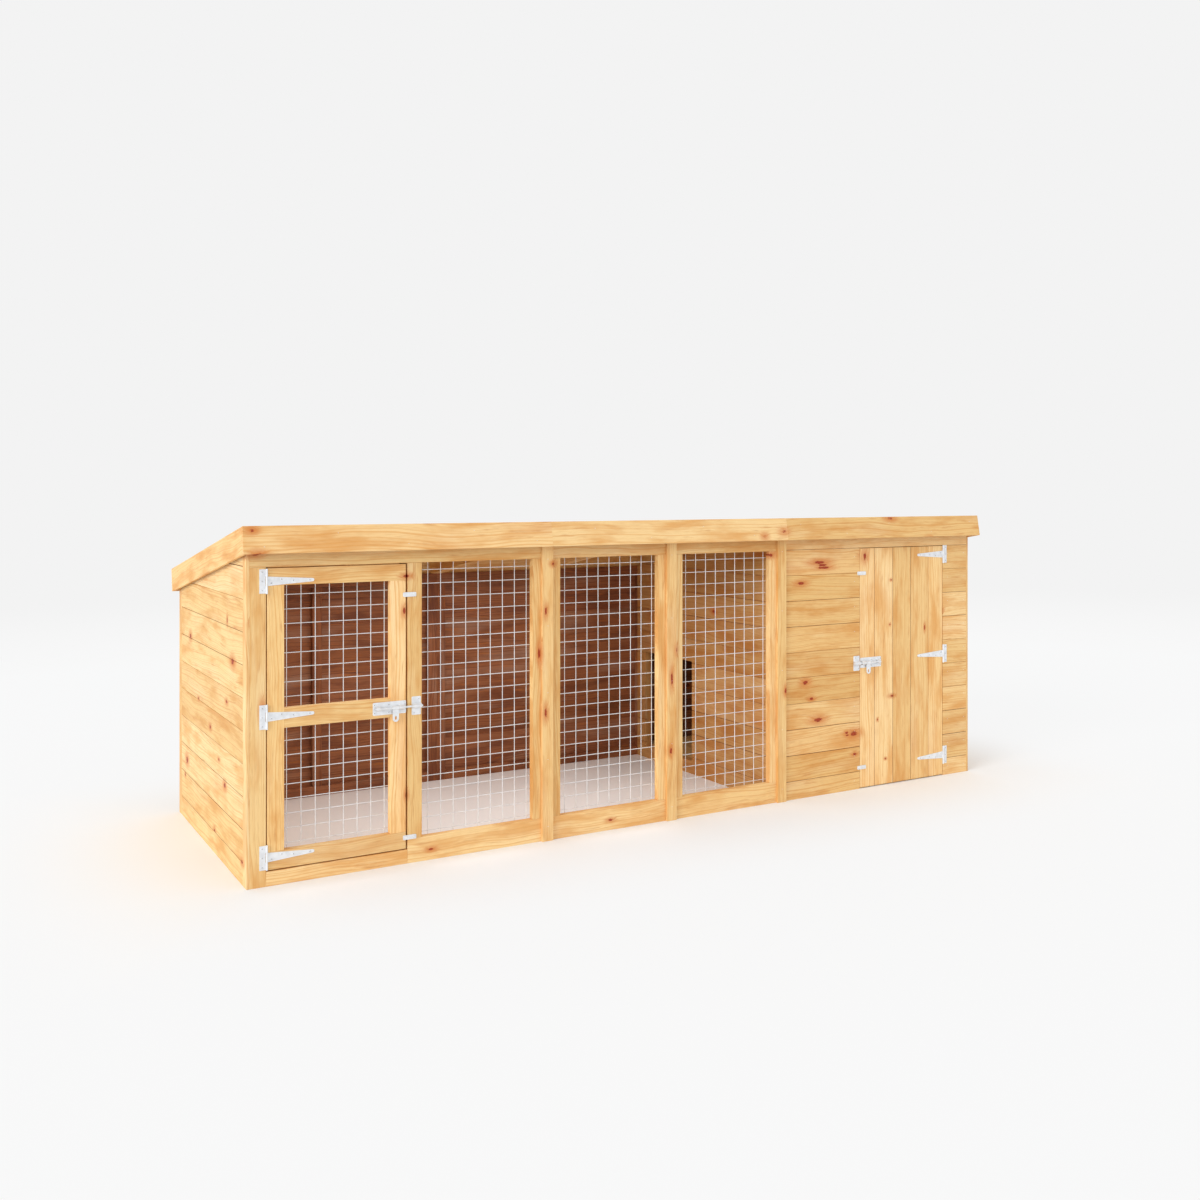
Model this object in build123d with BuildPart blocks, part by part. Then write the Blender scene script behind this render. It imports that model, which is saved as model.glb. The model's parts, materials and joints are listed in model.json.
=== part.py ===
from build123d import *
from math import cos, radians, sin, tan
import os

os.makedirs("parts", exist_ok=True)

# A timber dog kennel with a covered run beside it, under one lean-to roof.
# Millimetres. X runs along the front to the right, Y from front to back, Z up.
# The origin is on the ground, below the middle of the roof.

# Walls, measured over the outside of the boards
run_panel_lengths = (1200.0, 600.0, 600.0)
kennel_length = 1200.0
wall_depth = 1200.0

# Roof, measured over the outside of the fascias
roof_top = 1292.0
roof_length = 1320.0
roof_pitch = 9.75
front_overhang = 41.0
side_overhang = 23.0
fascia_depth = 100.0
fascia_thick = 12.0
felt_thick = 2.5
felt_lap = 75.0
felt_lap_step = 4.0
felt_lap_place = 622.0
roof_sheet_thick = 11.0
rafter_depth = 58.0
rafter_width = 28.0

# Small round metal is drawn with this many flats, to keep the model light
round_sides = 12
hole_sides = 8
wire_sides = 6

# Tongued boards
board_thick = 12.0
board_cover = 118.0
first_board_line = 83.0
least_rip = 12.0
board_gap = 0.3
board_vee = 2.0
tongue_thick = 4.0
tongue_length = 6.0
tongue_side_clear = 0.2
tongue_end_clear = 0.5

# Framing behind the boards
frame_thick = 28.0
stud_width = 45.0
joint_gap = 0.2

# Front of the run
post_width = 58.0
mullion_width = 58.0
stile_width = 63.0
front_top_rail = 70.4
bottom_rail_height = 93.0
plinth_height = 53.0
cover_strip_width = 50.0
cover_strip_thick = 12.0
corner_trim_width = 50.0

# Welded mesh
mesh_wire = 3.0
mesh_aperture = 50.0
mesh_layer_gap = 0.05
mesh_overlap = 15.0
window_mesh_offset = (35.5, 12.0)
door_mesh_offset = (16.0, 16.5)

# Run door
run_door_width = 524.0
run_door_hinge_gap = 4.0
run_door_latch_gap = 7.0
run_door_foot_gap = 5.0
run_door_head_gap = 4.0
run_door_stile = 61.5
run_door_top_rail = 62.0
run_door_bottom_rail = 64.0
run_door_mid_rail = 71.0
door_mid_height = 597.5
stop_overlap = 12.0
stop_width = 45.0
stop_thick = 12.0
stop_clear = 0.5

# Kennel door and the wall around it
kennel_door_width = 542.5
kennel_door_first_board = 93.0
kennel_right_wall = 163.0
kennel_head_board_height = 67.4
kennel_door_foot = 5.0
kennel_door_head_gap = 3.0
kennel_door_latch_gap = 2.0
kennel_door_hinge_gap = 3.5
ledge_height = 85.0
ledge_thick = 28.0
ledge_end_gap = 16.0
ledge_rail_gap = 8.0
ledge_chamfer = 3.0

# Partition between run and kennel, and the kennel floor
partition_offset = 45.0
pop_hole_front = 645.0
pop_hole_width = 435.0
pop_hole_top = 562.0
pop_jamb = 35.0
floor_top = 65.0
floor_board_thick = 12.0
floor_bearers = 4

# Tee hinges
hinge_pin_radius = 2.0
hinge_pin_clear = 0.05
strap_pin_clear = 0.08
knuckle_radius = 4.0
knuckle_stand_off = 0.2
knuckle_end_gap = 0.3
hinge_leaf = 2.0
hinge_plate_height = 87.0
hinge_plate_reach = 26.0
hinge_notch_clear = 0.6
strap_length = 173.0
strap_root = 34.0
strap_tip_radius = 6.0
pin_head_radius = 3.2
pin_head_thick = 1.5
hinge_hole_radius = 2.2
plate_holes = ((17.0, -33.0), (17.0, 0.0), (17.0, 33.0))
strap_holes = ((17.0, -7.0), (53.0, 6.0), (95.0, 0.0), (156.0, 0.0))
run_hinge_inset = 46.0
hinge_mid_lift = 9.0
kennel_hinge_top_inset = 41.0
kennel_hinge_foot_inset = 97.0

# Padlock bolts, measured along the plate from the end nearest the keep
bolt_plate_length = 131.0
bolt_plate_height = 48.0
bolt_plate_thick = 2.0
bolt_plate_corner = 4.0
bolt_hole_radius = 2.2
bolt_holes = ((69.0, -15.0), (69.0, 15.0), (125.0, -15.0), (125.0, 15.0))
rod_radius = 4.0
rod_stand_off = 8.5
rod_chamfer = 1.2
guide_clear = 0.6
guide_thick = 2.0
guide_foot = 23.0
front_guide_inset = 6.0
front_guide_width = 25.0
rear_guide_inset = 104.0
rear_guide_width = 16.0
rod_past_guide = 3.0
rod_past_keep = 5.0
handle_gap = 1.0
handle_width = 24.0
handle_bore_clear = 0.05
handle_collar_radius = 7.5
handle_drop = 53.0
handle_thick = 3.0
padlock_slot_height = 14.0
padlock_slot_width = 8.0
padlock_slot_drop = 38.0
keep_width = 37.0
keep_height = 70.0
keep_holes = ((-9.0, 26.0), (9.0, -26.0))
run_keep_offset = 23.0
kennel_keep_offset = 5.0

# Turn buttons
button_length = 53.0
button_width = 17.0
button_thick = 3.0
button_corner = 2.5
button_pivot_inset = 8.5
button_clear = 0.3
button_screw_radius = 2.0
button_bore_clear = 0.08
button_head_radius = 4.2
button_head_thick = 1.6
button_head_taper = 20.0
run_button_head_inset = 116.0
run_button_foot_inset = 42.0
kennel_button_head_inset = 118.0
kennel_button_foot_inset = 96.0
run_button_on_door = 12.0
kennel_button_on_wall = 16.5

# Places worked out from the sizes above
run_length = sum(run_panel_lengths)
wall_length = run_length + kennel_length
left = -wall_length / 2
right = wall_length / 2
run_joints = [left + sum(run_panel_lengths[:n]) for n in range(len(run_panel_lengths) + 1)]
kennel_left = run_joints[-1]
module_edges = (left, left + run_length / 2, kennel_left, right)
pitch = radians(roof_pitch)
front = front_overhang + (fascia_depth * sin(pitch) - roof_length * cos(pitch)) / 2
back = front + wall_depth
inner_left = left + board_thick
inner_right = right - board_thick
frame_back = front + frame_thick
back_frame = back - board_thick - frame_thick
sheet_depth = felt_thick + roof_sheet_thick
wall_top_depth = sheet_depth + rafter_depth
roof_plane = Plane(origin=(0, front - front_overhang, roof_top), x_dir=(1, 0, 0), z_dir=(0, sin(pitch), cos(pitch)))
wall_top_plane = roof_plane.offset(-wall_top_depth)
mesh_pitch = mesh_aperture + mesh_wire


def roof_z(y, depth):
    """Height of the surface that lies a given depth below the top of the roof."""
    return roof_top - (y - front + front_overhang) * tan(pitch) - depth / cos(pitch)


def roof_run(y, depth):
    """Distance down the slope, from the front edge, of a point at y and that depth."""
    return (y - front + front_overhang + depth * sin(pitch)) / cos(pitch)


def round_bar(radius):
    """Outline of a pin, screw or collar."""
    RegularPolygon(radius, round_sides)


def round_hole(radius):
    """Hole that a bar of that radius just passes."""
    RegularPolygon(radius, hole_sides, major_radius=False, mode=Mode.SUBTRACT)


def save(piece, name):
    """Name a finished sub-part and write it out."""
    piece.part.label = name
    export_step(piece.part, f"parts/{name}.step")


def timber(x_range, y_range, z_range):
    """A square-cut length that fills the given ranges."""
    (x0, x1), (y0, y1), (z0, z1) = x_range, y_range, z_range
    with Locations(((x0 + x1) / 2, (y0 + y1) / 2, (z0 + z1) / 2)):
        Box(x1 - x0, y1 - y0, z1 - z0)


def sloped_timber(x_range, y_range, top_depth, foot=None, foot_depth=None):
    """A length whose top is cut to the roof slope, with a level foot or one cut to the slope too."""
    (x0, x1), (y0, y1) = x_range, y_range
    feet = (foot, foot) if foot_depth is None else (roof_z(y0, foot_depth), roof_z(y1, foot_depth))
    with BuildSketch(Plane(origin=(x0, 0, 0), x_dir=(0, 1, 0), z_dir=(1, 0, 0))) as side:
        Polygon((y0, feet[0]), (y1, feet[1]), (y1, roof_z(y1, top_depth)), (y0, roof_z(y0, top_depth)), align=None)
    extrude(side.sketch, amount=x1 - x0)


def board_edges(low, high, first_line):
    """Edges of boards laid from low to high, with a joint on first_line and the rest a cover apart."""
    edges = [low]
    line = first_line
    while line < high - least_rip:
        edges.append(line)
        line += board_cover
    return edges + [high]


def board_outline(low, high, thick, plain_low, plain_high):
    """Section of a tongued board: depth behind its face, then distance across the boards."""
    near = (thick - tongue_thick) / 2
    far = near + tongue_thick
    top = high - board_gap
    groove = low + tongue_length + tongue_end_clear
    grooved = [
        (far + tongue_side_clear, low),
        (far + tongue_side_clear, groove),
        (near - tongue_side_clear, groove),
        (near - tongue_side_clear, low),
        (board_vee, low),
        (0, low + board_vee),
    ]
    tongued = [
        (0, top - board_vee),
        (board_vee, top),
        (near, top),
        (near, high + tongue_length),
        (far, high + tongue_length),
        (far, top),
        (thick, top),
    ]
    lower = [(0, low)] if plain_low else grooved
    upper = [(0, high), (thick, high)] if plain_high else tongued
    return [(thick, low)] + lower + upper


def lay_boards(origin, inward, across, length, edges, thick=board_thick):
    """Tongued boards side by side on one face, each a piece of its own."""
    section = Plane(origin=origin, x_dir=inward, z_dir=Vector(*inward).cross(Vector(*across)))
    with BuildSketch(section) as sections:
        for low, high in zip(edges, edges[1:]):
            Polygon(*board_outline(low, high, thick, low == edges[0], high == edges[-1]), align=None)
    extrude(sections.sketch, amount=length)


def welded_mesh(x_open, z_open, near_face, offset):
    """Straight wires in two layers behind an opening, uprights in front of the cross wires."""
    x_low, x_high = x_open[0] - mesh_overlap, x_open[1] + mesh_overlap
    z_low, z_high = z_open[0] - mesh_overlap, z_open[1] + mesh_overlap
    upright_y = near_face + mesh_wire / 2
    cross_y = upright_y + mesh_wire + mesh_layer_gap
    with BuildSketch(Plane.XY.offset(z_low)) as uprights:
        with Locations(*[(x, upright_y) for x in wire_places(x_open, x_open[0] + offset[0])]):
            RegularPolygon(mesh_wire / 2, wire_sides)
    extrude(uprights.sketch, amount=z_high - z_low)
    with BuildSketch(Plane.YZ.offset(x_low)) as cross_wires:
        with Locations(*[(cross_y, z) for z in wire_places(z_open, z_open[0] + offset[1])]):
            RegularPolygon(mesh_wire / 2, wire_sides)
    extrude(cross_wires.sketch, amount=x_high - x_low)


def wire_places(opening, first):
    """Places of the wires that cross an opening, one of them on first."""
    places = []
    place = first
    while place < opening[1] - mesh_wire:
        places.append(place)
        place += mesh_pitch
    return places


def rafter_edges():
    """Left and right face of each rafter: two ends and a middle for each roof module."""
    edges = []
    roof_edges = (left - side_overhang + fascia_thick,) + module_edges[1:-1] + (right + side_overhang - fascia_thick,)
    for start, end in zip(roof_edges, roof_edges[1:]):
        middle = (start + end) / 2
        edges.append((start, start + rafter_width))
        edges.append((middle - rafter_width / 2, middle + rafter_width / 2))
        edges.append((end - rafter_width, end - joint_gap))
    return edges


# Heights that hang from the top of the front wall
front_wall_top = roof_z(front, wall_top_depth)
front_rail_height = front_wall_top - front_top_rail
kennel_head_height = front_wall_top - kennel_head_board_height

# Front panels of the run: frames, then the mesh behind each window
run_door_left = inner_left + post_width + run_door_hinge_gap
run_door_right = run_door_left + run_door_width
mullion_left = run_door_right + run_door_latch_gap
mullion_right = mullion_left + mullion_width
front_depth = (front, frame_back)

with BuildPart() as run_front_frame_1:
    post = (inner_left, inner_left + post_width)
    timber(post, front_depth, (0, front_rail_height - joint_gap))
    timber((post[1] + joint_gap, mullion_left - joint_gap), front_depth, (0, plinth_height))
    timber((mullion_left, run_joints[1]), front_depth, (0, bottom_rail_height))
    uprights = ((mullion_left, mullion_right), (run_joints[1] - stile_width, run_joints[1]))
    for upright in uprights:
        timber(upright, front_depth, (bottom_rail_height + joint_gap, front_rail_height - joint_gap))
    sloped_timber((inner_left, run_joints[1]), front_depth, wall_top_depth, foot=front_rail_height)
save(run_front_frame_1, "run_front_frame_1")

windows = [(mullion_right, run_joints[1] - stile_width)]
for number in (2, 3):
    start, end = run_joints[number - 1], run_joints[number]
    with BuildPart() as panel:
        timber((start, end), front_depth, (0, bottom_rail_height))
        for upright in ((start, start + stile_width), (end - stile_width, end)):
            timber(upright, front_depth, (bottom_rail_height + joint_gap, front_rail_height - joint_gap))
        sloped_timber((start, end), front_depth, wall_top_depth, foot=front_rail_height)
    save(panel, f"run_front_frame_{number}")
    windows.append((start + stile_width, end - stile_width))

for number, window in enumerate(windows, start=1):
    with BuildPart() as mesh:
        welded_mesh(window, (bottom_rail_height, front_rail_height), frame_back, window_mesh_offset)
    save(mesh, f"run_mesh_{number}")

with BuildPart() as front_cover_strips:
    for joint in run_joints[1:]:
        strip = (joint - cover_strip_width / 2, joint + cover_strip_width / 2)
        sloped_timber(strip, (front - cover_strip_thick, front), wall_top_depth, foot=0)
save(front_cover_strips, "front_cover_strips")

with BuildPart() as corner_trims:
    for x_range in ((left, inner_left), (inner_right, right)):
        for y_range in ((front, front + corner_trim_width), (back - corner_trim_width, back)):
            sloped_timber(x_range, y_range, wall_top_depth, foot=0)
save(corner_trims, "corner_trims")

with BuildPart() as run_door_stops:
    stop_depth = (frame_back, frame_back + stop_thick)
    stop_z = (plinth_height, front_rail_height)
    hinge_stop_left = inner_left + frame_thick
    timber((hinge_stop_left, run_door_left + stop_overlap), stop_depth, stop_z)
    timber((run_door_right - stop_overlap, run_door_right - stop_overlap + stop_width), stop_depth, stop_z)
save(run_door_stops, "run_door_stops")

# Side walls: boards laid between the corner trims, and the frames that carry them
side_boards = (front + corner_trim_width, back - corner_trim_width)
side_edges = board_edges(0, roof_z(front, wall_top_depth), first_board_line)
side_walls = {
    "left_wall": ((left, side_boards[1], 0), (1, 0, 0), (inner_left, inner_left + frame_thick), frame_back),
    "right_wall": ((right, side_boards[0], 0), (-1, 0, 0), (inner_right - frame_thick, inner_right), None),
}
kennel_frame_front = front + board_thick
kennel_frame_back = kennel_frame_front + frame_thick

for name, (origin, inward, x_range, frame_start) in side_walls.items():
    with BuildPart() as boards:
        lay_boards(origin, inward, (0, 0, 1), side_boards[1] - side_boards[0], side_edges)
        split(bisect_by=wall_top_plane, keep=Keep.BOTTOM)
    save(boards, f"{name}_boards")
    start = kennel_frame_back if frame_start is None else frame_start
    middle = (start + back_frame) / 2
    rail_depth = wall_top_depth + stud_width
    with BuildPart() as frame:
        for y in (start, back_frame - stud_width):
            sloped_timber(x_range, (y, y + stud_width), rail_depth + joint_gap, foot=0)
        rail_y = (start + stud_width + joint_gap, back_frame - stud_width - joint_gap)
        timber(x_range, rail_y, (0, stud_width))
        stud = (middle - stud_width / 2, middle + stud_width / 2)
        sloped_timber(x_range, stud, rail_depth + joint_gap, foot=stud_width + joint_gap)
        sloped_timber(x_range, (start, back_frame), wall_top_depth, foot_depth=rail_depth)
    save(frame, f"{name}_frame")

# Back wall in three panels
back_edges = board_edges(0, roof_z(back - board_thick, wall_top_depth), first_board_line)
back_panels = ((inner_left, module_edges[1]), module_edges[1:3], (module_edges[2], inner_right))
for number, (start, end) in enumerate(back_panels, start=1):
    with BuildPart() as boards:
        lay_boards((end, back, 0), (0, -1, 0), (0, 0, 1), end - start - joint_gap, back_edges)
        split(bisect_by=wall_top_plane, keep=Keep.BOTTOM)
    save(boards, f"back_wall_boards_{number}")
    middle = (start + end) / 2
    y_range = (back_frame, back - board_thick)
    with BuildPart() as frame:
        for x in (start, end - stud_width):
            sloped_timber((x, x + stud_width), y_range, wall_top_depth + stud_width + joint_gap, foot=0)
        timber((start + stud_width + joint_gap, end - stud_width - joint_gap), y_range, (0, stud_width))
        stud = (middle - stud_width / 2, middle + stud_width / 2)
        sloped_timber(stud, y_range, wall_top_depth + stud_width + joint_gap, foot=stud_width + joint_gap)
        sloped_timber((start, end), y_range, wall_top_depth, foot_depth=wall_top_depth + stud_width)
    save(frame, f"back_wall_frame_{number}")

with BuildPart() as back_cover_strips:
    for joint in module_edges[1:3]:
        strip = (joint - cover_strip_width / 2, joint + cover_strip_width / 2)
        sloped_timber(strip, (back, back + cover_strip_thick), wall_top_depth, foot=0)
save(back_cover_strips, "back_cover_strips")

# Partition with its pop hole, boarded on the run side
partition_face = kennel_left - partition_offset
partition_back = partition_face + board_thick + frame_thick
pop_hole = (front + pop_hole_front, front + pop_hole_front + pop_hole_width)
with BuildPart() as partition_boards:
    partition_edges = board_edges(0, roof_z(frame_back, wall_top_depth), first_board_line)
    lay_boards((partition_face, back_frame, 0), (1, 0, 0), (0, 0, 1), back_frame - frame_back, partition_edges)
    split(bisect_by=wall_top_plane, keep=Keep.BOTTOM)
    hole_middle = (pop_hole[0] + pop_hole[1]) / 2
    with Locations((partition_face, hole_middle, (floor_top + pop_hole_top) / 2)):
        Box(frame_thick, pop_hole_width, pop_hole_top - floor_top, mode=Mode.SUBTRACT)
save(partition_boards, "partition_boards")

with BuildPart() as partition_frame:
    x_range = (partition_face + board_thick, partition_back)
    rail_depth = wall_top_depth + stud_width
    posts = (
        (frame_back, frame_back + stud_width),
        (pop_hole[0] - pop_jamb, pop_hole[0]),
        (pop_hole[1], back_frame - stud_width - joint_gap),
        (back_frame - stud_width, back_frame),
    )
    for post in posts:
        sloped_timber(x_range, post, rail_depth + joint_gap, foot=stud_width + joint_gap)
    timber(x_range, (frame_back, back_frame), (0, stud_width))
    head = (pop_hole[0] + joint_gap, pop_hole[1] - joint_gap)
    timber(x_range, head, (pop_hole_top, pop_hole_top + pop_jamb))
    timber(x_range, head, (stud_width + joint_gap, floor_top))
    sloped_timber(x_range, (frame_back, back_frame), wall_top_depth, foot_depth=rail_depth)
save(partition_frame, "partition_frame")

# Front wall of the kennel, open where the door hangs
kennel_opening_right = inner_right - kennel_right_wall
kennel_door_right = kennel_opening_right - kennel_door_hinge_gap
kennel_door_left = kennel_door_right - kennel_door_width
kennel_opening_left = kennel_door_left - kennel_door_latch_gap
wall_edges = board_edges(0, kennel_head_height, first_board_line)
for side, (start, end) in {
    "left": (kennel_left, kennel_opening_left),
    "right": (kennel_opening_right, inner_right),
}.items():
    with BuildPart() as boards:
        lay_boards((start, front, 0), (0, 1, 0), (0, 0, 1), end - start, wall_edges)
    save(boards, f"kennel_front_boards_{side}")

with BuildPart() as kennel_head_board:
    head_z = kennel_head_height + joint_gap
    sloped_timber((kennel_left, inner_right), (front, front + board_thick), wall_top_depth, foot=head_z)
save(kennel_head_board, "kennel_head_board")

with BuildPart() as kennel_front_frame:
    y_range = (kennel_frame_front, kennel_frame_back)
    door_post_left = kennel_door_left + stop_overlap - stud_width
    door_post_right = kennel_door_right - stop_overlap
    rail_foot = kennel_head_height - kennel_door_head_gap - stop_overlap
    posts = [kennel_left, door_post_left, door_post_right, inner_right - stud_width]
    for x in posts:
        timber((x, x + stud_width), y_range, (0, rail_foot - joint_gap))
    for near, far in zip(posts, posts[1:]):
        timber((near + stud_width + joint_gap, far - joint_gap), y_range, (0, stud_width))
    sloped_timber((kennel_left, inner_right), y_range, wall_top_depth, foot=rail_foot)
save(kennel_front_frame, "kennel_front_frame")

# Kennel floor: boards running front to back on bearers along the front
floor_x = (partition_back, inner_right - frame_thick)
floor_y = (kennel_frame_back, back_frame)
bearer_top = floor_top - floor_board_thick
with BuildPart() as kennel_floor_boards:
    floor_edges = board_edges(floor_x[0], floor_x[1], floor_x[0] + board_cover)
    lay_boards((0, floor_y[1], floor_top), (0, 0, -1), (1, 0, 0), floor_y[1] - floor_y[0], floor_edges, floor_board_thick)
save(kennel_floor_boards, "kennel_floor_boards")

with BuildPart() as kennel_floor_bearers:
    bearer_step = (floor_y[1] - floor_y[0] - stud_width) / (floor_bearers - 1)
    for n in range(floor_bearers):
        y = floor_y[0] + n * bearer_step
        timber(floor_x, (y, y + stud_width), (0, bearer_top))
save(kennel_floor_bearers, "kennel_floor_bearers")

# Roof: rafters on the wall tops, blocks between them, sheets, felt and fascias
slope_start, slope_end = fascia_thick, roof_length - fascia_thick
roof_left, roof_right = left - side_overhang, right + side_overhang


def roof_slab(x_range, run_range, depth, thick):
    """A piece that lies in the slope of the roof, its underside a given depth below the top."""
    with BuildSketch(roof_plane.offset(-depth)) as outline:
        with Locations(((x_range[0] + x_range[1]) / 2, (run_range[0] + run_range[1]) / 2)):
            Rectangle(x_range[1] - x_range[0], run_range[1] - run_range[0])
    extrude(outline.sketch, amount=thick)


with BuildPart() as roof_rafters:
    for x_range in rafter_edges():
        roof_slab(x_range, (slope_start, slope_end), wall_top_depth, rafter_depth)
save(roof_rafters, "roof_rafters")

block_rows = {
    "front": (roof_run(front, wall_top_depth), roof_run(front, wall_top_depth) + rafter_width),
    "back": (roof_run(back, wall_top_depth) - rafter_width, roof_run(back, wall_top_depth)),
}
with BuildPart() as roof_blocks:
    for (_, start), (end, _) in zip(rafter_edges(), rafter_edges()[1:]):
        if end - start > rafter_width:
            for run_range in block_rows.values():
                roof_slab((start, end), run_range, wall_top_depth, rafter_depth)
save(roof_blocks, "roof_blocks")

sheet_edges = (roof_left + fascia_thick,) + module_edges[1:3] + (roof_right - fascia_thick,)
with BuildPart() as roof_sheets:
    for start, end in zip(sheet_edges, sheet_edges[1:]):
        roof_slab((start, end - joint_gap), (slope_start, slope_end), sheet_depth, roof_sheet_thick)
save(roof_sheets, "roof_sheets")

felt_plane = Plane(origin=(sheet_edges[0], front - front_overhang, roof_top), x_dir=roof_plane.y_dir, z_dir=(1, 0, 0))
lap_end = felt_lap_place + felt_lap_step + felt_lap
with BuildPart() as roof_felt_front:
    with BuildSketch(felt_plane) as section:
        Polygon(
            (slope_start, -felt_thick),
            (felt_lap_place, -felt_thick),
            (felt_lap_place + felt_lap_step, 0),
            (lap_end, 0),
            (lap_end, felt_thick),
            (felt_lap_place + felt_lap_step, felt_thick),
            (felt_lap_place, 0),
            (slope_start, 0),
            align=None,
        )
    extrude(amount=sheet_edges[-1] - sheet_edges[0])
save(roof_felt_front, "roof_felt_front")

with BuildPart() as roof_felt_back:
    roof_slab((sheet_edges[0], sheet_edges[-1]), (felt_lap_place + felt_lap_step, slope_end), felt_thick, felt_thick)
save(roof_felt_back, "roof_felt_back")

fascia_edges = (roof_left,) + module_edges[1:3] + (roof_right,)
for side, run_range in {"front": (0, fascia_thick), "back": (slope_end, roof_length)}.items():
    with BuildPart() as fascia:
        for start, end in zip(fascia_edges, fascia_edges[1:]):
            roof_slab((start, end - joint_gap), run_range, fascia_depth, fascia_depth)
    save(fascia, f"{side}_fascia")

with BuildPart() as side_fascias:
    for start in (roof_left, roof_right - fascia_thick):
        roof_slab((start, start + fascia_thick), (slope_start, slope_end), fascia_depth, fascia_depth)
save(side_fascias, "side_fascias")

# Run door: rails over the ends of the stiles, mesh stapled behind in one sheet
run_door_foot = plinth_height + run_door_foot_gap
run_door_head = front_rail_height - run_door_head_gap
run_door_depth = (front, frame_back - stop_clear)
stile_z = (run_door_foot + run_door_bottom_rail, run_door_head - run_door_top_rail)
run_door_open = (run_door_left + run_door_stile, run_door_right - run_door_stile)
with BuildPart() as run_door_stiles:
    for stile in ((run_door_left, run_door_open[0]), (run_door_open[1], run_door_right)):
        timber(stile, run_door_depth, stile_z)
save(run_door_stiles, "run_door_stiles")

with BuildPart() as run_door_rails:
    timber((run_door_left, run_door_right), run_door_depth, (run_door_foot, stile_z[0]))
    timber((run_door_left, run_door_right), run_door_depth, (stile_z[1], run_door_head))
    mid_rail = (door_mid_height - run_door_mid_rail / 2, door_mid_height + run_door_mid_rail / 2)
    timber(run_door_open, run_door_depth, mid_rail)
save(run_door_rails, "run_door_rails")

with BuildPart() as run_door_mesh:
    welded_mesh(run_door_open, stile_z, run_door_depth[1], door_mesh_offset)
save(run_door_mesh, "run_door_mesh")

# Kennel door: tongued boards on three ledges
hinge_mid_height = door_mid_height + hinge_mid_lift
kennel_door_head = kennel_head_height - kennel_door_head_gap
with BuildPart() as kennel_door_boards:
    door_edges = board_edges(kennel_door_left, kennel_door_right, kennel_door_left + kennel_door_first_board)
    door_top = (0, front, kennel_door_head)
    lay_boards(door_top, (0, 1, 0), (1, 0, 0), kennel_door_head - kennel_door_foot, door_edges, board_thick - stop_clear)
save(kennel_door_boards, "kennel_door_boards")

ledge_top = rail_foot - ledge_rail_gap
ledge_feet = (stud_width + ledge_rail_gap, hinge_mid_height - ledge_height / 2, ledge_top - ledge_height)
ledge_x = (door_post_left + stud_width + ledge_end_gap, door_post_right - ledge_end_gap)
with BuildPart() as kennel_door_ledges:
    ledge_y = (kennel_frame_front - stop_clear, kennel_frame_front - stop_clear + ledge_thick)
    for foot in ledge_feet:
        timber(ledge_x, ledge_y, (foot, foot + ledge_height))
    inner_edges = kennel_door_ledges.edges().filter_by(Axis.X).group_by(Axis.Y)[-1]
    chamfer(inner_edges, ledge_chamfer)
save(kennel_door_ledges, "kennel_door_ledges")


# Tee hinges
def knuckle(x, y, z_range, bore_radius):
    """A rolled knuckle round the pin that stands at x, y."""
    with BuildSketch(Plane(origin=(x, y, z_range[0]))) as ring:
        round_bar(knuckle_radius)
        round_hole(bore_radius)
    extrude(ring.sketch, amount=z_range[1] - z_range[0])


def tee_hinges(name, axis_x, heights, toward_door):
    """Plates on the wall, straps on the door and the pins that join them."""
    axis_y = front - knuckle_radius - knuckle_stand_off
    half_plate = hinge_plate_height / 2
    half_root = strap_root / 2
    leaves = [Plane(origin=(axis_x, front, z), x_dir=(toward_door, 0, 0), z_dir=(0, -1, 0)) for z in heights]

    with BuildPart() as plates:
        for z, leaf_plane in zip(heights, leaves):
            with BuildSketch(leaf_plane) as leaf:
                with Locations((-hinge_plate_reach / 2, 0)):
                    Rectangle(hinge_plate_reach, hinge_plate_height)
                notch_reach = knuckle_radius + hinge_notch_clear
                Rectangle(2 * notch_reach, strap_root + 2 * knuckle_end_gap, mode=Mode.SUBTRACT)
                with Locations(*[(-reach, rise) for reach, rise in plate_holes]):
                    round_hole(hinge_hole_radius)
            extrude(leaf.sketch, amount=hinge_leaf)
            for near, far in ((-half_plate, -half_root - knuckle_end_gap), (half_root + knuckle_end_gap, half_plate)):
                knuckle(axis_x, axis_y, (z + near, z + far), hinge_pin_radius + hinge_pin_clear)
    save(plates, f"{name}_hinge_plates")

    with BuildPart() as straps:
        for z, leaf_plane in zip(heights, leaves):
            tip = strap_length - strap_tip_radius
            with BuildSketch(leaf_plane) as leaf:
                Polygon(
                    (0, -half_root),
                    (tip, -strap_tip_radius),
                    (tip, strap_tip_radius),
                    (0, half_root),
                    align=None,
                )
                with Locations((tip, 0)):
                    round_bar(strap_tip_radius)
                with Locations(*strap_holes):
                    round_hole(hinge_hole_radius)
            extrude(leaf.sketch, amount=hinge_leaf)
            knuckle(axis_x, axis_y, (z - half_root, z + half_root), hinge_pin_radius + strap_pin_clear)
    save(straps, f"{name}_hinge_straps")

    with BuildPart() as pins:
        head = half_plate + pin_head_thick
        for z in heights:
            for radius, foot, top in (
                (pin_head_radius, -head, -half_plate),
                (hinge_pin_radius, -half_plate, half_plate),
                (pin_head_radius, half_plate, head),
            ):
                with BuildSketch(Plane(origin=(axis_x, axis_y, z + foot))) as section:
                    round_bar(radius)
                extrude(section.sketch, amount=top - foot)
    save(pins, f"{name}_hinge_pins")


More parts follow.
